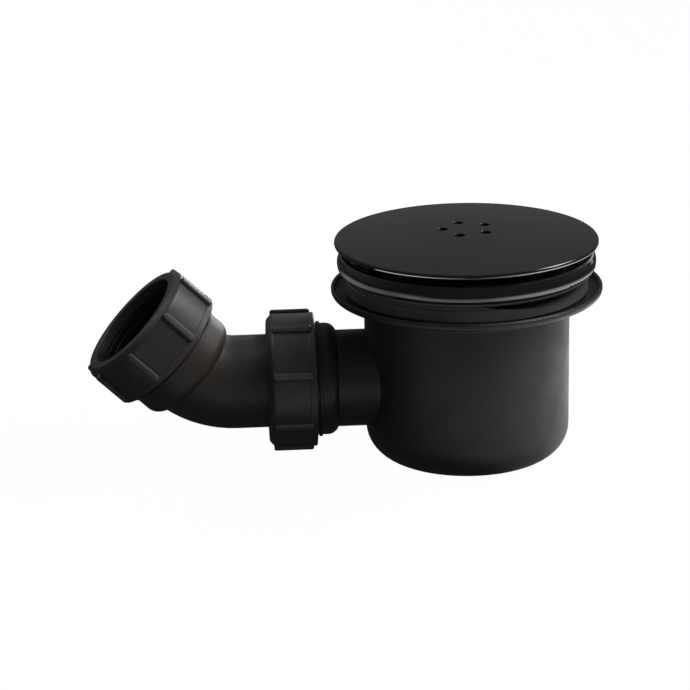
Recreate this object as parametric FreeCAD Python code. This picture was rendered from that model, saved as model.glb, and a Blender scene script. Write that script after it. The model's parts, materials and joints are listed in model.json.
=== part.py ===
import FreeCAD
import Part
import math
import os

os.makedirs("parts", exist_ok=True)

# All sizes are in millimetres. Z is the body's axis, z = 0 its flat base, and the outlet leaves along -X.
V = FreeCAD.Vector
ORIGIN = V(0, 0, 0)
UP = V(0, 0, 1)
OVERLAP = 0.5
SEAM_TURN = 90

# Body: bowl, dish for the lower seal, and outlet spigot
body_radius = 44.57
body_top_radius = 44.77
body_corner = 13.9
body_inner_radius = 42.0
body_inner_corner = 11.3
body_floor = 2.6
neck_z = 70.9
neck_round = 3.0
dish_underside_radius = 55.5
dish_underside_z = 73.0
dish_underside_round = 2.0
dish_radius = 59.0
dish_low_z = 73.6
dish_low_round = 2.6
dish_floor_z = 75.0
dish_lip_z = 77.0
dish_lip_inner_radius = 57.4
dish_lip_foot_radius = 56.9
dish_foot_round = 0.8
lip_round = 0.7
outlet_z = 35.7
spigot_radius = 21.2
spigot_bore_radius = 18.6
spigot_root = 36.0
socket_start = 57.0

# Compression socket, the same on the body's spigot and on the elbow; distances run from its shoulder
shoulder_radius = 24.5
shoulder_round = 5.0
collar_start = 7.4
collar_end = 8.8
collar_radius = 25.3
collar_round = 0.3
thread_start = 10.0
thread_root_radius = 24.9
thread_end_round = 0.4
socket_length = 23.0
socket_step = 3.5
socket_bore_radius = 20.7
taper_start = 15.0
taper_end = 22.0
taper_radius = 23.4

# Compression nut
nut_back = 9.8
elbow_nut_slack = 1.0
nut_length = 20.8
nut_radius = 29.1
nut_collar_radius = 29.35
nut_collar_length = 2.8
nut_collar_round = 0.5
nut_step_length = 0.3
nut_step_round = 0.2
nut_bore_radius = 26.0
nut_bore_length = 16.2
nut_hole_radius = 22.7
nut_hole_round = 0.6
nut_chamfer_length = 2.2
nut_chamfer_round = 1.9
nut_face_radius = 26.6
nut_face_round = 1.6
nut_rib_count = 8
nut_rib_radius = 30.9
nut_rib_width = 3.2
nut_rib_start = 1.5
nut_rib_end = 19.0
nut_rib_end_round = 1.4
nut_rib_top_round = 1.0
outlet_nut_spin = 21.2
elbow_nut_spin = -8.4

# Slip ring and cone seal inside each nut
slip_start = 23.4
slip_length = 2.2
slip_bore_radius = 21.6
slip_radius = 25.2
slip_round = 0.3
seal_start = 15.6
seal_end = 23.1
seal_bore_radius = 20.75
seal_small_radius = 20.9
seal_large_radius = 23.25
seal_round = 0.3

# Elbow
tail_radius = 20.4
tail_bore_radius = 18.0
tail_end = 61.0
bend_start = 101.6
bend_radius = 32.0
bend_angle = 45.0
swivel_angle = 5.0
elbow_shoulder_gap = -1.2
elbow_shoulder_extra = 4.6

# Upper flange that screws into the body's neck
flange_low_z = 84.5
flange_low_radius = 55.7
flange_low_round = 2.0
flange_radius = 56.3
flange_wide_z = 88.4
flange_wide_round = 6.0
flange_top_z = 92.2
flange_top_radius = 55.0
flange_top_inner_radius = 52.6
flange_top_round = 1.2
well_radius = 46.8
well_floor_z = 87.0
well_round = 1.5
skirt_radius = 41.2
skirt_root_round = 0.6
skirt_end_round = 0.8
skirt_bore_radius = 38.1
skirt_bore_round = 0.8
skirt_bore_end_round = 0.5
skirt_low_z = 62.0
key_lug_count = 6
key_lug_inner_radius = 44.6
key_lug_outer_radius = 47.6
key_lug_width = 5.0
key_lug_top_z = 89.6
key_lug_round = 0.6

# Upper and lower seals that hold the tray between them
upper_seal_radius = 54.2
upper_seal_low_radius = 53.4
upper_seal_bore = 43.0
upper_seal_low_z = 82.6
upper_seal_step_z = 83.3
upper_seal_top_z = 84.2
upper_seal_round = 0.3
lower_seal_radius = 52.6
lower_seal_bore = 43.4
lower_seal_low_z = 75.1
lower_seal_top_z = 82.3
lower_seal_low_round = 0.6
lower_seal_top_round = 0.5
lower_seal_groove_z = 81.0
lower_seal_groove_depth = 0.35
lower_seal_groove_half = 0.3
dip_direction = -48.0
dip_depth = 3.9
dip_half_chord = 34.0

# Removable inner trap: dip tube, O-ring, strainer and cup
rim_radius = 43.2
rim_low_z = 87.3
rim_top_z = 89.0
rim_low_round = 0.4
rim_top_round = 0.6
mouth_round = 0.8
insert_radius = 37.5
insert_bore_radius = 35.6
insert_low_z = 72.0
insert_round = 1.0
insert_bore_low_z = 73.2
tube_radius = 24.2
tube_bore_radius = 22.4
tube_cone_z = 66.0
tube_cone_rise = 0.8
tube_cone_round = 2.0
tube_low_z = 14.0
tube_end_round = 0.5
groove_low_z = 78.0
groove_top_z = 80.6
groove_radius = 36.0
o_ring_radius = 1.0
o_ring_centre = 37.05
strainer_radius = 35.3
strainer_low_z = 73.4
strainer_top_z = 75.0
strainer_lip_z = 77.0
strainer_lip_wall = 1.4
strainer_round = 0.5
strainer_lip_round = 0.4
strainer_hole_radius = 2.6
strainer_rows = ((8, 12.0), (14, 20.5), (20, 28.5))
knob_radius = 3.0
knob_top_z = 84.0
knob_foot_round = 0.8
knob_top_round = 1.2
cup_radius = 33.0
cup_top_radius = 33.4
cup_wall = 1.8
cup_low_z = 2.75
cup_top_z = 58.0
cup_round = 8.0
cup_inner_round = 6.2
cup_rim_round = 0.7

# Domed cover
cover_radius = 57.2
cover_crown_z = 101.8
cover_edge_z = 97.6
cover_low_z = 95.6
cover_lip_inner_radius = 55.0
cover_lip_depth = 0.8
cover_thickness = 2.5
cover_edge_round = 1.2
cover_low_round = 0.9
hole_radius = 2.2
hole_round = 0.5
hole_circle = 10.2
hole_count = 5
hole_first_angle = 177.0
leg_count = 3
leg_inner_radius = 39.4
leg_outer_radius = 42.6
leg_width = 12.0
leg_low_z = 89.3
leg_top_z = 98.4
leg_first_angle = 30.0
leg_round = 0.8
rib_ring_radius = 22.0
rib_ring_wall = 1.4
rib_ring_low_z = 96.2
rib_ring_top_z = 99.4
rib_ring_round = 0.4


def rounded_wire(corners):
    """Closed wire in the XZ plane through (radius, height, rounding) corners."""
    points = [V(c[0], 0, c[1]) for c in corners]
    rounds = [c[2] if len(c) > 2 else 0 for c in corners]
    enters, leaves, arcs = [], [], []
    for i, here in enumerate(points):
        back = points[i - 1].sub(here).normalize()
        ahead = points[(i + 1) % len(points)].sub(here).normalize()
        half = back.getAngle(ahead) / 2
        setback = rounds[i] / math.tan(half)
        enters.append(here.add(V(back).multiply(setback)))
        leaves.append(here.add(V(ahead).multiply(setback)))
        middle = back.add(ahead)
        if rounds[i]:
            middle.normalize().multiply(rounds[i] / math.sin(half) - rounds[i])
        arcs.append(here.add(middle))
    edges = []
    for i in range(len(points)):
        if rounds[i]:
            edges.append(Part.Arc(enters[i], arcs[i], leaves[i]).toShape())
        following = enters[(i + 1) % len(points)]
        if leaves[i].distanceToPoint(following) > 1e-6:
            edges.append(Part.makeLine(leaves[i], following))
    return Part.Wire(edges)


def turned(corners):
    """Solid of revolution about Z from (radius, height, rounding) corners."""
    return Part.Face(rounded_wire(corners)).revolve(ORIGIN, UP, 360)


def along(shape, start, direction, spin=0):
    """Moves a shape built on the Z axis so that its axis leaves start in the given direction."""
    turn = FreeCAD.Rotation(UP, direction).multiply(FreeCAD.Rotation(UP, spin))
    shape.Placement = FreeCAD.Placement(start, turn)
    return shape


def at_angle(shape, angle):
    """Copy of a shape turned about Z."""
    copy = shape.copy()
    copy.rotate(ORIGIN, UP, angle)
    return copy


def edges_at(shape, radius, height):
    """Round edges about Z with the given radius and height."""
    found = []
    for edge in shape.Edges:
        box = edge.BoundBox
        if abs(box.ZMin - height) < 0.01 and abs(box.ZMax - height) < 0.01:
            if abs(box.XMax - radius) < 0.05:
                found.append(edge)
    return found


# Frames of the outlet and of the elbow's far end
outlet_direction = V(-1, 0, 0)
outlet_start = V(0, 0, outlet_z)
bend = math.radians(bend_angle)
swivel = math.radians(swivel_angle)
bend_side = V(0, -math.sin(swivel), math.cos(swivel))
bend_origin = V(-bend_start, 0, outlet_z)
bend_centre = bend_origin.add(V(bend_side).multiply(bend_radius))
bend_axis = outlet_direction.cross(bend_side)
elbow_direction = V(-math.cos(bend), 0, 0).add(V(bend_side).multiply(math.sin(bend)))
bend_shift = V(-math.sin(bend), 0, 0).add(V(bend_side).multiply(1 - math.cos(bend)))
bend_finish = bend_origin.add(V(bend_shift).multiply(bend_radius))
outlet_socket = outlet_start.add(V(outlet_direction).multiply(socket_start))
elbow_socket = bend_finish.add(V(elbow_direction).multiply(elbow_shoulder_gap))
elbow_fittings = elbow_socket.add(V(elbow_direction).multiply(elbow_nut_slack))


def socket_outside(start, direction, extra):
    """Outside of a compression socket: rounded shoulder, collar, relief groove and thread cylinder."""
    return along(turned([
        (0, -extra),
        (shoulder_radius, -extra, shoulder_round),
        (shoulder_radius, collar_start),
        (collar_radius, collar_start, collar_round),
        (collar_radius, collar_end, collar_round),
        (shoulder_radius, collar_end),
        (shoulder_radius, thread_start),
        (thread_root_radius, thread_start),
        (thread_root_radius, socket_length, thread_end_round),
        (0, socket_length),
    ]), start, direction, SEAM_TURN)


def socket_inside(start, direction):
    """Hollow of a compression socket: pipe bore and the taper that squeezes the seal."""
    return along(turned([
        (0, socket_step),
        (socket_bore_radius, socket_step),
        (socket_bore_radius, taper_start),
        (taper_radius, taper_end),
        (taper_radius, socket_length + OVERLAP),
        (0, socket_length + OVERLAP),
    ]), start, direction)


def compression_nut(start, direction, spin):
    """Ribbed nut with a threaded bore and an inward lip."""
    nut = turned([
        (nut_bore_radius, 0),
        (nut_collar_radius, 0, nut_collar_round),
        (nut_collar_radius, nut_collar_length, nut_step_round),
        (nut_radius, nut_collar_length + nut_step_length),
        (nut_radius, nut_length - nut_chamfer_length, nut_chamfer_round),
        (nut_face_radius, nut_length, nut_face_round),
        (nut_hole_radius, nut_length, nut_hole_round),
        (nut_hole_radius, nut_bore_length),
        (nut_bore_radius, nut_bore_length),
    ])
    root = nut_radius - 2 * OVERLAP
    height = nut_rib_radius - root
    length = nut_rib_end - nut_rib_start
    rib = Part.makeBox(height, nut_rib_width, length, V(root, -nut_rib_width / 2, nut_rib_start))
    ends = [e for e in rib.Edges if abs(e.BoundBox.XLength - height) < 0.01]
    rib = rib.makeFillet(nut_rib_end_round, ends)
    top = [e for e in rib.Edges if e.BoundBox.XMin > nut_rib_radius - 0.01]
    rib = rib.makeFillet(nut_rib_top_round, top)
    step = 360 / nut_rib_count
    nut = nut.multiFuse([at_angle(rib, k * step) for k in range(nut_rib_count)])
    return along(nut.removeSplitter(), start, direction, spin)


def slip_ring(start, direction):
    """Flat washer between the nut's lip and the seal."""
    return along(turned([
        (slip_bore_radius, slip_start, slip_round),
        (slip_radius, slip_start, slip_round),
        (slip_radius, slip_start + slip_length, slip_round),
        (slip_bore_radius, slip_start + slip_length, slip_round),
    ]), start, direction)


def cone_seal(start, direction):
    """Rubber cone that the nut presses into the socket's taper."""
    return along(turned([
        (seal_bore_radius, seal_start),
        (seal_small_radius, seal_start),
        (seal_large_radius, taper_end),
        (seal_large_radius, seal_end, seal_round),
        (seal_bore_radius, seal_end, seal_round),
    ]), start, direction)


def bent_pipe(radius):
    """Solid rod of the given radius through the elbow's bend."""
    circle = Part.Wire(Part.makeCircle(radius, bend_origin, outlet_direction))
    return Part.Face(circle).revolve(bend_centre, bend_axis, bend_angle)


def straight_pipe(radius, first, last):
    """Solid rod on the outlet axis between two distances from the body's axis."""
    start = outlet_start.add(V(outlet_direction).multiply(first))
    return Part.makeCylinder(radius, last - first, start, outlet_direction)


# Body
bowl = turned([
    (0, 0),
    (body_radius, 0, body_corner),
    (body_top_radius, neck_z, neck_round),
    (dish_underside_radius, dish_underside_z, dish_underside_round),
    (dish_radius, dish_low_z, dish_low_round),
    (dish_radius, dish_lip_z, lip_round),
    (dish_lip_inner_radius, dish_lip_z, lip_round),
    (dish_lip_foot_radius, dish_floor_z, dish_foot_round),
    (0, dish_floor_z),
])
bowl_inside = turned([
    (0, body_floor),
    (body_inner_radius, body_floor, body_inner_corner),
    (body_inner_radius, dish_floor_z + OVERLAP),
    (0, dish_floor_z + OVERLAP),
])
spigot = straight_pipe(spigot_radius, spigot_root, socket_start + shoulder_round)
spigot_bore = straight_pipe(spigot_bore_radius, spigot_root - OVERLAP, socket_start + socket_step + OVERLAP)
body = bowl.multiFuse([spigot, socket_outside(outlet_socket, outlet_direction, 0)])
body = body.cut(bowl_inside).cut(spigot_bore).cut(socket_inside(outlet_socket, outlet_direction))

# Elbow
elbow_outside = socket_outside(elbow_socket, elbow_direction, elbow_shoulder_extra)
elbow = bent_pipe(tail_radius).fuse(elbow_outside).fuse(straight_pipe(tail_radius, tail_end, bend_start))
far_bore_length = elbow_shoulder_gap + socket_step + OVERLAP
far_bore = along(Part.makeCylinder(tail_bore_radius, far_bore_length), bend_finish, elbow_direction)
near_bore = straight_pipe(tail_bore_radius, tail_end - OVERLAP, bend_start)
elbow_bore = near_bore.fuse(bent_pipe(tail_bore_radius)).fuse(far_bore)
elbow = elbow.cut(elbow_bore).cut(socket_inside(elbow_socket, elbow_direction)).removeSplitter()

# Nuts, slip rings and cone seals; the elbow's are slack because it holds no pipe yet
outlet_nut_start = outlet_socket.add(V(outlet_direction).multiply(nut_back))
elbow_nut_start = elbow_fittings.add(V(elbow_direction).multiply(nut_back))
outlet_nut = compression_nut(outlet_nut_start, outlet_direction, outlet_nut_spin)
elbow_nut = compression_nut(elbow_nut_start, elbow_direction, elbow_nut_spin)
outlet_slip_ring = slip_ring(outlet_socket, outlet_direction)
elbow_slip_ring = slip_ring(elbow_fittings, elbow_direction)
outlet_seal = cone_seal(outlet_socket, outlet_direction)
elbow_seal = cone_seal(elbow_fittings, elbow_direction)

# Upper flange, with lugs in its well for the tightening key
upper_flange = turned([
    (skirt_radius, flange_low_z, skirt_root_round),
    (flange_low_radius, flange_low_z, flange_low_round),
    (flange_radius, flange_wide_z, flange_wide_round),
    (flange_top_radius, flange_top_z, flange_top_round),
    (flange_top_inner_radius, flange_top_z, flange_top_round),
    (well_radius, well_floor_z, well_round),
    (skirt_bore_radius, well_floor_z, skirt_bore_round),
    (skirt_bore_radius, skirt_low_z, skirt_bore_end_round),
    (skirt_radius, skirt_low_z, skirt_end_round),
])
key_lug = Part.makeBox(
    key_lug_outer_radius - key_lug_inner_radius, key_lug_width, key_lug_top_z - well_floor_z + OVERLAP,
    V(key_lug_inner_radius, -key_lug_width / 2, well_floor_z - OVERLAP))
lug_corners = [e for e in key_lug.Edges if e.BoundBox.XMax < key_lug_inner_radius + OVERLAP]
lug_corners = [e for e in lug_corners if e.BoundBox.ZMax > key_lug_top_z - OVERLAP]
key_lug = key_lug.makeFillet(key_lug_round, lug_corners)
key_lugs = [at_angle(key_lug, k * 360 / key_lug_count) for k in range(key_lug_count)]
upper_flange = upper_flange.multiFuse(key_lugs)

# Tray seals; the lower one sags on one side, as the photograph shows
upper_seal = turned([
    (upper_seal_bore, upper_seal_low_z),
    (upper_seal_low_radius, upper_seal_low_z, upper_seal_round),
    (upper_seal_low_radius, upper_seal_step_z),
    (upper_seal_radius, upper_seal_step_z, upper_seal_round),
    (upper_seal_radius, upper_seal_top_z, upper_seal_round),
    (upper_seal_bore, upper_seal_top_z),
])
lower_seal = turned([
    (lower_seal_bore, lower_seal_low_z),
    (lower_seal_radius, lower_seal_low_z, lower_seal_low_round),
    (lower_seal_radius, lower_seal_groove_z - lower_seal_groove_half),
    (lower_seal_radius - lower_seal_groove_depth, lower_seal_groove_z),
    (lower_seal_radius, lower_seal_groove_z + lower_seal_groove_half),
    (lower_seal_radius, lower_seal_top_z, lower_seal_top_round),
    (lower_seal_bore, lower_seal_top_z),
])
dip_radius = (dip_half_chord ** 2 + dip_depth ** 2) / (2 * dip_depth)
dip_height = lower_seal_top_z - dip_depth + dip_radius
dip_cutter = Part.makeCylinder(dip_radius, lower_seal_radius + OVERLAP, V(0, 0, dip_height), V(1, 0, 0))
lower_seal = lower_seal.cut(at_angle(dip_cutter, dip_direction))

# Dip tube with its O-ring groove
dip_tube = turned([
    (rim_radius, rim_low_z, rim_low_round),
    (rim_radius, rim_top_z, rim_top_round),
    (insert_bore_radius, rim_top_z, mouth_round),
    (insert_bore_radius, insert_bore_low_z),
    (tube_bore_radius, tube_cone_z + tube_cone_rise, tube_cone_round),
    (tube_bore_radius, tube_low_z, tube_end_round),
    (tube_radius, tube_low_z, tube_end_round),
    (tube_radius, tube_cone_z, tube_cone_round),
    (insert_radius, insert_low_z, insert_round),
    (insert_radius, groove_low_z),
    (groove_radius, groove_low_z),
    (groove_radius, groove_top_z),
    (insert_radius, groove_top_z),
    (insert_radius, rim_low_z),
])
groove_middle_z = (groove_low_z + groove_top_z) / 2
dip_tube_o_ring = Part.makeTorus(o_ring_centre, o_ring_radius, V(0, 0, groove_middle_z), UP)

# Strainer dish with its lifting knob
hair_strainer = turned([
    (0, strainer_low_z),
    (strainer_radius, strainer_low_z, strainer_round),
    (strainer_radius, strainer_lip_z, strainer_lip_round),
    (strainer_radius - strainer_lip_wall, strainer_lip_z, strainer_lip_round),
    (strainer_radius - strainer_lip_wall, strainer_top_z, strainer_round),
    (knob_radius, strainer_top_z, knob_foot_round),
    (knob_radius, knob_top_z, knob_top_round),
    (0, knob_top_z),
])
strainer_holes = []
strainer_cut = strainer_top_z - strainer_low_z + 2 * OVERLAP
for count, circle in strainer_rows:
    hole = Part.makeCylinder(strainer_hole_radius, strainer_cut, V(circle, 0, strainer_low_z - OVERLAP))
    strainer_holes += [at_angle(hole, k * 360 / count) for k in range(count)]
hair_strainer = hair_strainer.cut(Part.makeCompound(strainer_holes))

# Trap cup
trap_cup = turned([
    (0, cup_low_z),
    (cup_radius, cup_low_z, cup_round),
    (cup_top_radius, cup_top_z, cup_rim_round),
    (cup_top_radius - cup_wall, cup_top_z, cup_rim_round),
    (cup_radius - cup_wall, cup_low_z + cup_wall, cup_inner_round),
    (0, cup_low_z + cup_wall),
])

# Cover: domed disc with five holes, standing on three legs
inner_crown_z = cover_crown_z - cover_thickness
lip_top_z = cover_low_z + cover_lip_depth
dome_rise = cover_crown_z - cover_edge_z
inner_rise = inner_crown_z - lip_top_z
dome_middle = V(cover_radius / 2, 0, cover_crown_z - dome_rise / 4)
inner_middle = V(cover_lip_inner_radius / 2, 0, inner_crown_z - inner_rise / 4)
cover_edges = [
    Part.Arc(V(0, 0, cover_crown_z), dome_middle, V(cover_radius, 0, cover_edge_z)).toShape(),
    Part.makeLine(V(cover_radius, 0, cover_edge_z), V(cover_radius, 0, cover_low_z)),
    Part.makeLine(V(cover_radius, 0, cover_low_z), V(cover_lip_inner_radius, 0, cover_low_z)),
    Part.makeLine(V(cover_lip_inner_radius, 0, cover_low_z), V(cover_lip_inner_radius, 0, lip_top_z)),
    Part.Arc(V(cover_lip_inner_radius, 0, lip_top_z), inner_middle, V(0, 0, inner_crown_z)).toShape(),
    Part.makeLine(V(0, 0, inner_crown_z), V(0, 0, cover_crown_z)),
]
cover = Part.Face(Part.Wire(cover_edges)).revolve(ORIGIN, UP, 360)
cover = cover.makeFillet(cover_edge_round, edges_at(cover, cover_radius, cover_edge_z))
cover = cover.makeFillet(cover_low_round, edges_at(cover, cover_radius, cover_low_z))
leg = Part.makeBox(
    leg_outer_radius - leg_inner_radius, leg_width, leg_top_z - leg_low_z,
    V(leg_inner_radius, -leg_width / 2, leg_low_z))
leg = leg.makeFillet(leg_round, leg.Edges)
legs = [at_angle(leg, leg_first_angle + k * 360 / leg_count) for k in range(leg_count)]
rib_ring = turned([
    (rib_ring_radius, rib_ring_low_z, rib_ring_round),
    (rib_ring_radius + rib_ring_wall, rib_ring_low_z, rib_ring_round),
    (rib_ring_radius + rib_ring_wall, rib_ring_top_z),
    (rib_ring_radius, rib_ring_top_z),
])
cover = cover.multiFuse(legs + [rib_ring])
cover_cut = cover_crown_z - cover_low_z + OVERLAP
cover_hole = Part.makeCylinder(hole_radius, cover_cut, V(hole_circle, 0, cover_low_z))
for k in range(hole_count):
    cover = cover.cut(at_angle(cover_hole, hole_first_angle + k * 360 / hole_count))
dome_edges = [e for e in cover.Edges if e.BoundBox.ZMin > cover_edge_z + dome_rise / 2]
hole_rims = [e for e in dome_edges if e.BoundBox.XLength > hole_radius]
cover = cover.makeFillet(hole_round, hole_rims)

# One file per piece
pieces = {
    "cover": cover,
    "hair_strainer": hair_strainer,
    "dip_tube": dip_tube,
    "dip_tube_o_ring": dip_tube_o_ring,
    "trap_cup": trap_cup,
    "upper_flange": upper_flange,
    "upper_seal": upper_seal,
    "lower_seal": lower_seal,
    "body": body,
    "outlet_nut": outlet_nut,
    "outlet_slip_ring": outlet_slip_ring,
    "outlet_seal": outlet_seal,
    "elbow": elbow,
    "elbow_nut": elbow_nut,
    "elbow_slip_ring": elbow_slip_ring,
    "elbow_seal": elbow_seal,
}
for name, shape in pieces.items():
    solid = shape.Solids[0]
    solid.exportStep(os.path.join("parts", name + ".step"))
    print(name, "solids", len(shape.Solids), "valid", solid.isValid(), "volume", round(solid.Volume))
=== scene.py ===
import json
import math

import bpy
import bmesh
from mathutils import Matrix, Vector


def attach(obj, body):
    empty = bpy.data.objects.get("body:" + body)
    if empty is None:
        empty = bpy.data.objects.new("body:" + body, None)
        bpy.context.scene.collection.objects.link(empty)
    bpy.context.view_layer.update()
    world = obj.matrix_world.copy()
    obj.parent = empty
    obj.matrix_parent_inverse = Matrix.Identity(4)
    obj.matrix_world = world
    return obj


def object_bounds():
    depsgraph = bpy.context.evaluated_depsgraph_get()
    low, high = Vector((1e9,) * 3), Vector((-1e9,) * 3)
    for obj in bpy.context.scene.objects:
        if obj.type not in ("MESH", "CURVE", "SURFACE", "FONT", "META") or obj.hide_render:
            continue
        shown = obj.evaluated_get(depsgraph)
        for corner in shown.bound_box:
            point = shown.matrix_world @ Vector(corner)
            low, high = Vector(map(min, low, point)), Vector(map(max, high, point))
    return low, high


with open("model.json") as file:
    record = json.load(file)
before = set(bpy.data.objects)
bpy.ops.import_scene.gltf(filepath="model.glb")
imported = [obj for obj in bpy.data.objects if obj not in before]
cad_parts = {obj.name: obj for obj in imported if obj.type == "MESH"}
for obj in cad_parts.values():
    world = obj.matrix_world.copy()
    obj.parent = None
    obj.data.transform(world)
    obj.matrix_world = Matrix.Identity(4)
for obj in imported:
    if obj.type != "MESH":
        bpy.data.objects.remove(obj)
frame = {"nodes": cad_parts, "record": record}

# Lengths are in metres, colours are linear, and angles are in degrees where a call takes them
cad_low, cad_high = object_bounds()
scene = bpy.context.scene
scene.view_settings.view_transform = "Standard"

# Camera, fitted to the photograph: picture centre, distance, angles, roll and focal length
PICTURE = 690
FOCAL_PIXELS = 2747.61
SENSOR = 36.0
CLIP_START = 0.05
CLIP_END = 50
TARGET = Vector((-0.05338, 0, 0.05074))
CAMERA_DISTANCE = 1.2
CAMERA_AZIMUTH = math.radians(-2.83)
CAMERA_ELEVATION = math.radians(18.29)
CAMERA_ROLL = math.radians(1.2)


def direction(turn, rise):
    """Unit vector towards an azimuth and an elevation in radians; azimuth 0 is in front."""
    return Vector((
        math.sin(turn) * math.cos(rise), -math.cos(turn) * math.cos(rise), math.sin(rise)))


def make_camera():
    """Camera at the photograph's angle."""
    back = direction(CAMERA_AZIMUTH, CAMERA_ELEVATION)
    level = Vector((math.cos(CAMERA_AZIMUTH), math.sin(CAMERA_AZIMUTH), 0))
    upright = back.cross(level)
    right = math.cos(CAMERA_ROLL) * level - math.sin(CAMERA_ROLL) * upright
    up = math.cos(CAMERA_ROLL) * upright + math.sin(CAMERA_ROLL) * level
    data = bpy.data.cameras.new("camera")
    data.sensor_width = SENSOR
    data.lens = FOCAL_PIXELS * SENSOR / PICTURE
    data.clip_start = CLIP_START
    data.clip_end = CLIP_END
    camera = bpy.data.objects.new("camera", data)
    scene.collection.objects.link(camera)
    turn = Matrix((right, up, back)).transposed().to_4x4()
    camera.matrix_world = Matrix.Translation(TARGET + CAMERA_DISTANCE * back) @ turn
    scene.camera = camera


class Nodes:
    """A node tree with short calls to add and join nodes."""

    def __init__(self, tree):
        self.tree = tree

    def add(self, kind, values=None, **settings):
        node = self.tree.nodes.new(kind)
        for key, value in settings.items():
            setattr(node, key, value)
        for key, value in (values or {}).items():
            if isinstance(value, bpy.types.NodeSocket):
                self.tree.links.new(value, node.inputs[key])
            else:
                node.inputs[key].default_value = value
        return node

    def link(self, socket, shader, name):
        self.tree.links.new(socket, shader.inputs[name])

    def noise(self, place, scale, detail, roughness=0.5):
        return self.add("ShaderNodeTexNoise", {
            "Vector": place, "Scale": scale, "Detail": detail, "Roughness": roughness,
        }).outputs["Fac"]

    def ramp(self, value, low, high, to_low=0.0, to_high=1.0):
        return self.add("ShaderNodeMapRange", {
            "Value": value, "From Min": low, "From Max": high, "To Min": to_low, "To Max": to_high,
        }).outputs["Result"]

    def math(self, operation, first, second):
        return self.add("ShaderNodeMath", {0: first, 1: second}, operation=operation).outputs[0]

    def vector(self, operation, first, second):
        return self.add(
            "ShaderNodeVectorMath", {0: first, 1: second}, operation=operation).outputs[0]

    def length(self, vector):
        return self.add("ShaderNodeVectorMath", {0: vector}, operation="LENGTH").outputs["Value"]

    def parts(self, vector):
        return self.add("ShaderNodeSeparateXYZ", {0: vector}).outputs

    def place(self):
        return self.add("ShaderNodeTexCoord").outputs["Object"]

    def colour(self, amount, first, second):
        """Colour between two colours or colour sockets."""
        node = self.add("ShaderNodeMix", data_type="RGBA")
        self.tree.links.new(amount, node.inputs[0])
        for socket, value in ((node.inputs[6], first), (node.inputs[7], second)):
            if isinstance(value, bpy.types.NodeSocket):
                self.tree.links.new(value, socket)
            else:
                socket.default_value = (*value, 1)
        return node.outputs[2]


def new_material(name):
    """Material with its tree, its shader and object coordinates."""
    material = bpy.data.materials.new(name)
    material.use_nodes = True
    nodes = Nodes(material.node_tree)
    return material, nodes, material.node_tree.nodes["Principled BSDF"], nodes.place()


def bump(nodes, shader, height, distance):
    """Height field on the shader's normal."""
    made = nodes.add("ShaderNodeBump", {"Height": height, "Distance": distance, "Strength": 1.0})
    nodes.link(made.outputs["Normal"], shader, "Normal")


# Textures: a noise has a scale, a detail and a roughness, and a range is stretched to run from 0 to 1
CLOUD_NOISE = (42, 4, 0.6)
CLOUD_RANGE = (0.32, 0.68)
CLOUD_SHARE = 0.6
FLOW_NOISE = (230, 3)
SMUDGE_NOISE = (16, 5, 0.65)
SMUDGE_RANGE = (0.56, 0.74)
SMUDGE_DEPTH = 0.75
SPECK_SCALE = 120
SPECK_CHOICE = (0.62, 0.64)
SPECK_EDGES = (0.075, 0.035)
SPECK_BLACK = (0.002, 0.002, 0.002)
UNEVEN_NOISE = (95, 3)
GRAIN_NOISE = (2600, 2)
GRAIN = 0.00004
TINT_NOISE = (30, 3)
SMEAR_NOISE = (55, 5, 0.62)
SMEAR_RANGE = (0.35, 0.7)
PEEL_NOISE = (320, 2)
PEEL = 0.000004
PLAIN_RANGE = (0.3, 0.7)


def moulded(name, dark, light, stain, rough, specular, grain=GRAIN, rubbed=None, dish=None):
    """Moulded plastic: cloudy warm tone, sparse dark specks, uneven gloss and a fine grain.

    rubbed gives a point and a direction of an axis, two radii and a colour: the surface takes
    that colour outwards. dish gives two radii, two heights and a colour: the surface takes that
    colour inwards and upwards, a painted shade that stands in for the shadow inside a dish."""
    material, nodes, shader, place = new_material(name)
    cloud = nodes.ramp(nodes.noise(place, *CLOUD_NOISE), *CLOUD_RANGE)
    flow = nodes.ramp(nodes.noise(place, *FLOW_NOISE), *PLAIN_RANGE)
    tone = nodes.math(
        "ADD", nodes.math("MULTIPLY", cloud, CLOUD_SHARE), nodes.math("MULTIPLY", flow, 1 - CLOUD_SHARE))
    base = nodes.colour(tone, dark, light)
    smudge = nodes.ramp(nodes.noise(place, *SMUDGE_NOISE), *SMUDGE_RANGE, 0.0, SMUDGE_DEPTH)
    base = nodes.colour(smudge, base, stain)
    if rubbed:
        point, axis, inner, outer, colour = rubbed
        apart = nodes.vector("SUBTRACT", place, point)
        radius = nodes.length(nodes.vector("CROSS_PRODUCT", apart, axis))
        base = nodes.colour(nodes.ramp(radius, inner, outer), base, colour)
    # Painted shade: the dish colour darkens the inside of the body's dish, in place of its shadow
    if dish:
        outer, inner, low, high, colour = dish
        radius = nodes.length(nodes.vector("MULTIPLY", place, (1, 1, 0)))
        rise = nodes.ramp(nodes.parts(place)["Z"], low, high)
        inside = nodes.math("MULTIPLY", rise, nodes.ramp(radius, outer, inner))
        base = nodes.colour(inside, base, colour)
    cells = nodes.add("ShaderNodeTexVoronoi", {"Vector": place, "Scale": SPECK_SCALE}).outputs
    draw = nodes.add("ShaderNodeSeparateColor", {0: cells["Color"]}).outputs[0]
    speck = nodes.math(
        "MULTIPLY", nodes.ramp(draw, *SPECK_CHOICE), nodes.ramp(cells["Distance"], *SPECK_EDGES))
    nodes.link(nodes.colour(speck, base, SPECK_BLACK), shader, "Base Color")
    uneven = nodes.ramp(nodes.noise(place, *UNEVEN_NOISE), *PLAIN_RANGE, *rough)
    nodes.link(uneven, shader, "Roughness")
    shader.inputs["Specular IOR Level"].default_value = specular
    bump(nodes, shader, nodes.math("SUBTRACT", nodes.noise(place, *GRAIN_NOISE), speck), grain)
    return material


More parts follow.
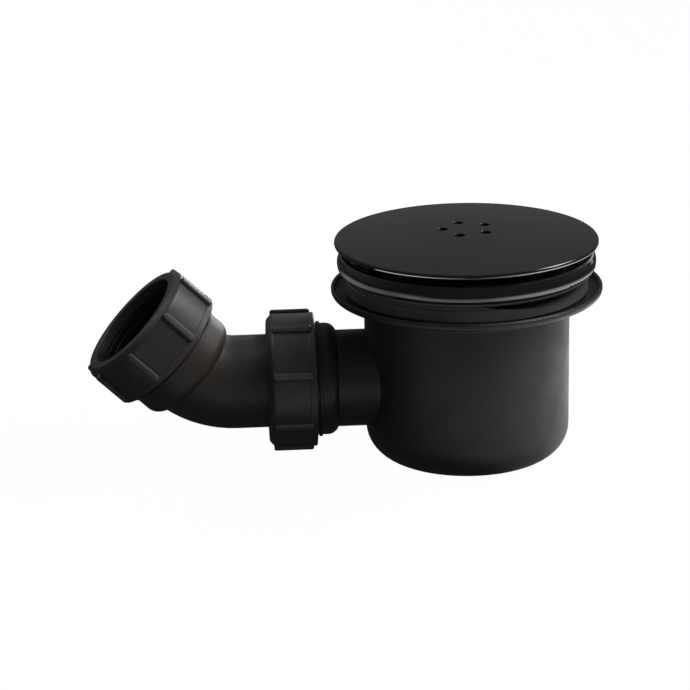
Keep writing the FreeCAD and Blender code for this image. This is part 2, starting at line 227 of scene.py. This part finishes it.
def polished(name, dark, light, rough, specular):
    """Polished plastic: deep tone, faint smears in the gloss and a very slight orange peel."""
    material, nodes, shader, place = new_material(name)
    tint = nodes.ramp(nodes.noise(place, *TINT_NOISE), *PLAIN_RANGE)
    nodes.link(nodes.colour(tint, dark, light), shader, "Base Color")
    smear = nodes.ramp(nodes.noise(place, *SMEAR_NOISE), *SMEAR_RANGE, *rough)
    nodes.link(smear, shader, "Roughness")
    shader.inputs["Specular IOR Level"].default_value = specular
    bump(nodes, shader, nodes.noise(place, *PEEL_NOISE), PEEL)
    return material


# Axes of the two nuts, from the joints they turn on
joints = {joint["name"]: joint for joint in frame["record"]["behaviour"]["joints"]}
outlet_axis = Vector(joints["outlet_nut_turn"]["axis"]).normalized()
outlet_point = Vector(joints["outlet_nut_turn"]["pos_m"])
elbow_axis = Vector(joints["elbow_nut_turn"]["axis"]).normalized()
elbow_socket = Vector(joints["elbow_nut_turn"]["pos_m"])

# Plastics: dark and light tone, stain, range of roughness and specular level
# Painted shade: near black inside the body's dish, between its rim and the lower seal, standing in for
# shadow
DISH_SHADE = (0.0577, 0.0571, 0.0735, 0.0745, (0.001, 0.001, 0.001))
BODY_BLACK = moulded(
    "body_black", (0.0128, 0.0112, 0.0106), (0.0172, 0.0155, 0.0148), (0.0150, 0.0125, 0.0112),
    (0.40, 0.50), 0.32, dish=DISH_SHADE)
ELBOW_BLACK = moulded(
    "elbow_black", (0.0150, 0.0122, 0.0100), (0.0215, 0.0184, 0.0157), (0.0165, 0.0117, 0.0080),
    (0.46, 0.58), 0.4)
NUT_TONES = (
    (0.0185, 0.0160, 0.0156), (0.0245, 0.0216, 0.0211), (0.0215, 0.0176, 0.0160), (0.42, 0.54), 0.4)
RIB_WEAR = (0.0296, 0.0306, (0.036, 0.033, 0.0305))
OUTLET_NUT_BLACK = moulded(
    "outlet_nut_black", *NUT_TONES, rubbed=(outlet_point, outlet_axis, *RIB_WEAR))
ELBOW_NUT_BLACK = moulded(
    "elbow_nut_black", *NUT_TONES, rubbed=(elbow_socket, elbow_axis, *RIB_WEAR))
# Painted shade: a darker copy of the black plastic for the parts inside and the seals in the two mouths,
# standing in for the shadow inside
SHADED_INNER_BLACK = moulded(
    "shaded_inner_black", (0.006, 0.006, 0.006), (0.009, 0.009, 0.009), (0.007, 0.006, 0.006),
    (0.42, 0.54), 0.25, grain=0.00002)
RUBBER = moulded(
    "seal_rubber", (0.036, 0.035, 0.037), (0.050, 0.049, 0.051), (0.041, 0.038, 0.039),
    (0.42, 0.54), 0.5, grain=0.00005)
GLOSS_TONES = ((0.006, 0.006, 0.0066), (0.0085, 0.0087, 0.0095))
GLOSS = polished("gloss_black", *GLOSS_TONES, (0.05, 0.09), 0.5)
FLANGE_GLOSS = polished("flange_gloss", *GLOSS_TONES, (0.07, 0.12), 1.0)

FINISH = {
    "cover": GLOSS,
    "upper_flange": FLANGE_GLOSS,
    "hair_strainer": SHADED_INNER_BLACK,
    "dip_tube": SHADED_INNER_BLACK,
    "trap_cup": SHADED_INNER_BLACK,
    "outlet_slip_ring": SHADED_INNER_BLACK,
    "elbow_slip_ring": SHADED_INNER_BLACK,
    "dip_tube_o_ring": RUBBER,
    "upper_seal": RUBBER,
    "lower_seal": RUBBER,
    # The seals in the mouths take the darker inside black, not the seal rubber: painted shade
    "outlet_seal": SHADED_INNER_BLACK,
    "elbow_seal": SHADED_INNER_BLACK,
    "body": BODY_BLACK,
    "elbow": ELBOW_BLACK,
    "outlet_nut": OUTLET_NUT_BLACK,
    "elbow_nut": ELBOW_NUT_BLACK,
}
for name, material in FINISH.items():
    mesh = frame["nodes"][name].data
    mesh.materials.clear()
    mesh.materials.append(material)

# Screw threads, as raised helical ridges that run out at both ends
THREAD_STEPS = 72
THREAD_RUN_OUT = 0.25
THREAD_TIP = 0.02
THREAD_SINK = 0.0001
ROOT_SHARE = 0.62
CREST_SHARE = 0.22
SHARP_ANGLE = math.radians(25)


def thread(name, body, slot, material, start, axis, root, crest, pitch, first, last):
    """Ridge from radius root to radius crest on an axis, between two distances from start."""
    turn = axis.to_track_quat("Z", "Y").to_matrix()
    sink = math.copysign(THREAD_SINK, root - crest)
    half_root, half_crest = pitch * ROOT_SHARE / 2, pitch * CREST_SHARE / 2
    turns = (last - first) / pitch
    made = bmesh.new()
    rows = []
    for step in range(round(turns * THREAD_STEPS) + 1):
        done = step / THREAD_STEPS
        height = min(1.0, (min(done, turns - done) + THREAD_TIP) / THREAD_RUN_OUT)
        angle, along = 2 * math.pi * done, first + pitch * done
        top = root + (crest - root) * height
        profile = (
            (root + sink, along - half_root),
            (top, along - half_crest),
            (top, along + half_crest),
            (root + sink, along + half_root),
        )
        rows.append([
            made.verts.new(start + turn @ Vector((r * math.cos(angle), r * math.sin(angle), s)))
            for r, s in profile])
    for one, two in zip(rows, rows[1:]):
        for k in range(len(one)):
            following = (k + 1) % len(one)
            made.faces.new((one[k], one[following], two[following], two[k]))
    made.faces.new(rows[0])
    made.faces.new(rows[-1])
    bmesh.ops.recalc_face_normals(made, faces=made.faces)
    mesh = bpy.data.meshes.new(name)
    made.to_mesh(mesh)
    made.free()
    mesh.shade_smooth()
    mesh.set_sharp_from_angle(angle=SHARP_ANGLE)
    mesh.materials.append(material)
    piece = bpy.data.objects.new(name, mesh)
    scene.collection.objects.link(piece)
    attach(piece, body)


# Each thread's root and crest radius, pitch, and first and last distance.
# The distances run from the socket's shoulder, or from the base for the flange and the neck.
NUT_PITCH = 0.004
FLANGE_PITCH = 0.003
SOCKET_THREAD = (0.0249, 0.0255, NUT_PITCH, 0.0115, 0.0215)
NUT_THREAD = (0.0260, 0.0256, NUT_PITCH, 0.0125, 0.0225)
SKIRT_THREAD = (0.0412, 0.0417, FLANGE_PITCH, 0.0640, 0.0715)
NECK_THREAD = (0.0420, 0.04182, FLANGE_PITCH, 0.0635, 0.0725)
SOCKET_START = 0.057
ELBOW_SLACK = 0.001
outlet = (outlet_point + SOCKET_START * outlet_axis, outlet_axis)
elbow = (elbow_socket, elbow_axis)
loose_nut = (elbow_socket + ELBOW_SLACK * elbow_axis, elbow_axis)
upright = (Vector((0, 0, 0)), Vector((0, 0, 1)))
thread("outlet_socket_thread", "body", "matte_black", BODY_BLACK, *outlet, *SOCKET_THREAD)
thread("elbow_socket_thread", "elbow", "matte_black", ELBOW_BLACK, *elbow, *SOCKET_THREAD)
# The nut threads take the darker inside black: painted shade
thread("outlet_nut_thread", "outlet_nut", "nut_black", SHADED_INNER_BLACK, *outlet, *NUT_THREAD)
thread("elbow_nut_thread", "elbow_nut", "nut_black", SHADED_INNER_BLACK, *loose_nut, *NUT_THREAD)
thread("flange_thread", "upper_flange", "gloss_black", FLANGE_GLOSS, *upright, *SKIRT_THREAD)
thread("neck_thread", "body", "matte_black", BODY_BLACK, *upright, *NECK_THREAD)

# Floor: white to the camera, with a faint shadow; reflections see a darker one with a bright patch
FLOOR_SIZE = 30.0
FLOOR_DROP = 0.0002
FLOOR_SHADOW_SHARE = 0.015
FLOOR_PAINT = (0.8, 0.8, 0.8)
FLOOR_BOUNCE = (0.15, 0.15, 0.15)
FLOOR_DARK = 0.05
FLOOR_BRIGHT = 0.9
FLOOR_BRIGHT_RIGHT = 2.0
RIGHT_EDGES = (0.03, 0.13)
BACK_SLANT = 0.8
BACK_EDGES = (-0.14, -0.04)
SHADE_ENDS = (-0.15, -0.04)
SHADE_EDGES = (0.060, 0.095)
PATCH_EDGES = (0.25, 0.18)
PATCH_SLANT = 0.3
WHITE = (1, 1, 1, 1)

# Room of dark walls and a ceiling, and the even fill of the world
ROOM_RADIUS = 2.6
ROOM_HEIGHT = 2.6
ROOM_SIDES = 64
CEILING_HOLE = 0.001
ROOM_COLOUR = (0.96, 0.98, 1.05, 1)
ROOM_LEVELS = (0.10, 0.23)
ROOM_DEPTH = (-1.0, 1.0)
ROOM_FRONT_SHARE = 0.35
WORLD_FILL = 0.08


def stage_mesh(name, points, faces, material):
    """Mesh that belongs to the set and not to the object."""
    mesh = bpy.data.meshes.new(name)
    mesh.from_pydata(points, [], faces)
    mesh.materials.append(material)
    made = bpy.data.objects.new(name, mesh)
    scene.collection.objects.link(made)
    return made


def bare_material(name):
    """Material with an empty tree."""
    material = bpy.data.materials.new(name)
    material.use_nodes = True
    material.node_tree.nodes.clear()
    return material, Nodes(material.node_tree)


def floor_mirror(nodes):
    """Brightness of the floor in reflections: dark under the object, bright round it, dark far off.

    The shade follows the body and its outlet, and the bright patch leaves out the back on the left."""
    place = nodes.parts(nodes.place())
    under = nodes.math("MAXIMUM", nodes.math("MINIMUM", place["X"], SHADE_ENDS[1]), SHADE_ENDS[0])
    beside = nodes.math("SUBTRACT", place["X"], under)
    flat = nodes.add("ShaderNodeCombineXYZ", {"X": beside, "Y": place["Y"]}).outputs[0]
    apart = nodes.length(flat)
    front = nodes.math("SUBTRACT", place["X"], nodes.math("MULTIPLY", place["Y"], BACK_SLANT))
    reach = nodes.math("SUBTRACT", apart, nodes.math("MULTIPLY", place["X"], PATCH_SLANT))
    lit = nodes.math(
        "MULTIPLY", nodes.ramp(apart, *SHADE_EDGES), nodes.ramp(reach, *PATCH_EDGES))
    lit = nodes.math("MULTIPLY", lit, nodes.ramp(front, *BACK_EDGES))
    level = nodes.ramp(place["X"], *RIGHT_EDGES, FLOOR_BRIGHT, FLOOR_BRIGHT_RIGHT)
    return nodes.math("MAXIMUM", nodes.math("MULTIPLY", lit, level), FLOOR_DARK)


def make_floor():
    """White floor that keeps a faint shadow."""
    material, nodes = bare_material("floor")
    path = nodes.add("ShaderNodeLightPath").outputs
    mirrored = path["Is Glossy Ray"]
    seen = nodes.math("MAXIMUM", path["Is Camera Ray"], path["Is Transmission Ray"])
    share = nodes.math(
        "MAXIMUM", nodes.math("MULTIPLY", seen, 1 - FLOOR_SHADOW_SHARE), mirrored)
    strength = nodes.math("ADD", seen, nodes.math("MULTIPLY", mirrored, floor_mirror(nodes)))
    tone = nodes.colour(path["Is Diffuse Ray"], FLOOR_PAINT, FLOOR_BOUNCE)
    paint = nodes.add("ShaderNodeBsdfDiffuse", {"Color": tone}).outputs[0]
    white = nodes.add("ShaderNodeEmission", {"Color": WHITE, "Strength": strength}).outputs[0]
    surface = nodes.add("ShaderNodeMixShader", {0: share, 1: paint, 2: white}).outputs[0]
    nodes.add("ShaderNodeOutputMaterial", {"Surface": surface})
    half = FLOOR_SIZE / 2
    corners = [(-half, -half, 0), (half, -half, 0), (half, half, 0), (-half, half, 0)]
    floor = stage_mesh("floor", corners, [(0, 1, 2, 3)], material)
    floor.location.z = cad_low.z - FLOOR_DROP


def make_room():
    """Dark walls and ceiling that only reflections see, lighter towards the top and the back."""
    material, nodes = bare_material("room")
    place = nodes.parts(nodes.place())
    strength = nodes.ramp(place["Z"], 0, ROOM_HEIGHT, *ROOM_LEVELS)
    depth = nodes.ramp(place["Y"], *ROOM_DEPTH, ROOM_FRONT_SHARE, 1.0)
    strength = nodes.math("MULTIPLY", strength, depth)
    grey = nodes.add("ShaderNodeEmission", {"Color": ROOM_COLOUR, "Strength": strength}).outputs[0]
    nodes.add("ShaderNodeOutputMaterial", {"Surface": grey})
    rings = ((ROOM_RADIUS, 0), (ROOM_RADIUS, ROOM_HEIGHT), (CEILING_HOLE, ROOM_HEIGHT))
    turns = [2 * math.pi * k / ROOM_SIDES for k in range(ROOM_SIDES)]
    points = [(r * math.cos(t), r * math.sin(t), z) for r, z in rings for t in turns]
    faces = []
    for ring in range(len(rings) - 1):
        for k in range(ROOM_SIDES):
            first = ring * ROOM_SIDES + k
            second = ring * ROOM_SIDES + (k + 1) % ROOM_SIDES
            faces.append((first, second, second + ROOM_SIDES, first + ROOM_SIDES))
    room = stage_mesh("room", points, faces, material)
    room.visible_camera = False
    room.visible_diffuse = False
    room.visible_shadow = False
    room.visible_transmission = False


def make_world():
    """White surround for what is seen, and a dim even fill."""
    world = bpy.data.worlds.new("world")
    scene.world = world
    world.use_nodes = True
    nodes = Nodes(world.node_tree)
    nodes.tree.nodes.clear()
    path = nodes.add("ShaderNodeLightPath").outputs
    seen = nodes.math("MAXIMUM", path["Is Camera Ray"], path["Is Glossy Ray"])
    seen = nodes.math("MAXIMUM", seen, path["Is Transmission Ray"])
    fill = nodes.add("ShaderNodeBackground", {"Color": WHITE, "Strength": WORLD_FILL}).outputs[0]
    white = nodes.add("ShaderNodeBackground", {"Color": WHITE, "Strength": 1.0}).outputs[0]
    both = nodes.add("ShaderNodeMixShader", {0: seen, 1: fill, 2: white}).outputs[0]
    nodes.add("ShaderNodeOutputWorld", {"Surface": both})


# 1 / mean of t (1 - t) u (1 - u) over a lamp, where t and u run from 0 to 1 across it
FEATHER_GAIN = 36.0


def feather(nodes):
    """Fades a lamp towards its edges and keeps its power."""
    nodes.tree.nodes.clear()
    across = nodes.parts(nodes.add("ShaderNodeNewGeometry").outputs["Parametric"])
    share = [
        nodes.math("MULTIPLY", across[side], nodes.math("SUBTRACT", 1.0, across[side]))
        for side in "XY"]
    strength = nodes.math("MULTIPLY", nodes.math("MULTIPLY", *share), FEATHER_GAIN)
    glow = nodes.add("ShaderNodeEmission", {"Strength": strength}).outputs[0]
    nodes.add("ShaderNodeOutputLight", {"Surface": glow})


def lamp(name, azimuth, elevation, distance, width, height, power, lights=True, mirrored=True):
    """Soft rectangular lamp aimed at the object; azimuth 0 is in front and 90 on the right."""
    way = direction(math.radians(azimuth), math.radians(elevation))
    data = bpy.data.lights.new(name, "AREA")
    data.shape = "RECTANGLE"
    data.size = width
    data.size_y = height
    data.energy = power
    data.use_nodes = True
    feather(Nodes(data.node_tree))
    light = bpy.data.objects.new(name, data)
    light.location = TARGET + distance * way
    light.rotation_euler = (-way).to_track_quat("-Z", "Y").to_euler()
    light.visible_diffuse = lights
    light.visible_glossy = mirrored
    scene.collection.objects.link(light)
    return light


def linked_nodes(light, *names):
    """Collection of the named nodes, set as the receivers of a lamp."""
    nodes = bpy.data.collections.new("nodes_of_" + light.name)
    for name in names:
        nodes.objects.link(frame["nodes"][name])
    light.light_linking.receiver_collection = nodes
    return nodes


def keep_off(light, *names):
    """Shades the named nodes from a lamp, as a flag does in a studio."""
    for entry in linked_nodes(light, *names).collection_objects:
        entry.light_linking.link_state = "EXCLUDE"


def card(name, azimuth, reach, height, width, depth, power, *names):
    """Level glowing card, beside the body at a height, that only the named nodes reflect."""
    light = lamp(name, azimuth, 0, reach, width, depth, power, lights=False)
    turn = math.radians(azimuth)
    light.location = (reach * math.sin(turn), -reach * math.cos(turn), height)
    light.rotation_euler = (math.pi, 0, turn)
    light.visible_camera = False
    linked_nodes(light, *names)


make_camera()
make_floor()
make_room()
make_world()

# Lamps: azimuth, elevation, distance, width, height and power
lamp("fill", 66, 42, 1.3, 0.6, 0.7, 13.0, mirrored=False)
lamp("fill_low", -5, 9, 1.3, 1.4, 0.3, 3.4, mirrored=False)
lamp("fill_back", -150, 20, 1.3, 0.8, 0.6, 8.0, mirrored=False)
strip_left = lamp("strip_left", -112, 54, 1.1, 0.5, 1.2, 3.2, lights=False)
strip_right = lamp("strip_right", 112, 54, 1.1, 0.5, 1.2, 3.2, lights=False)
key = lamp("softbox_right", 100, 44, 1.1, 0.6, 0.5, 7.0)
rim = lamp("rim", 158, 16, 1.2, 0.4, 0.35, 5.0, lights=False)

# Reflections of the cover's edge and of the flange alone; a card has an azimuth, reach and height first
card("edge_right", 56, 0.24, 0.001, 0.40, 0.28, 1.6, "cover")
card("edge_left", -56, 0.24, 0.001, 0.40, 0.28, 1.6, "cover")
flange_right = lamp("flange_right", 140, 5, 0.8, 0.35, 0.5, 0.27, lights=False)
linked_nodes(flange_right, "upper_flange")
card("band_left", -74, 0.08, 0.07, 0.14, 0.05, 0.0065, "upper_flange")
keep_off(key, "upper_flange")
keep_off(rim, "upper_flange", "cover", "body")
keep_off(strip_left, "upper_flange", "cover", "body")
keep_off(strip_right, "upper_flange", "cover", "body")
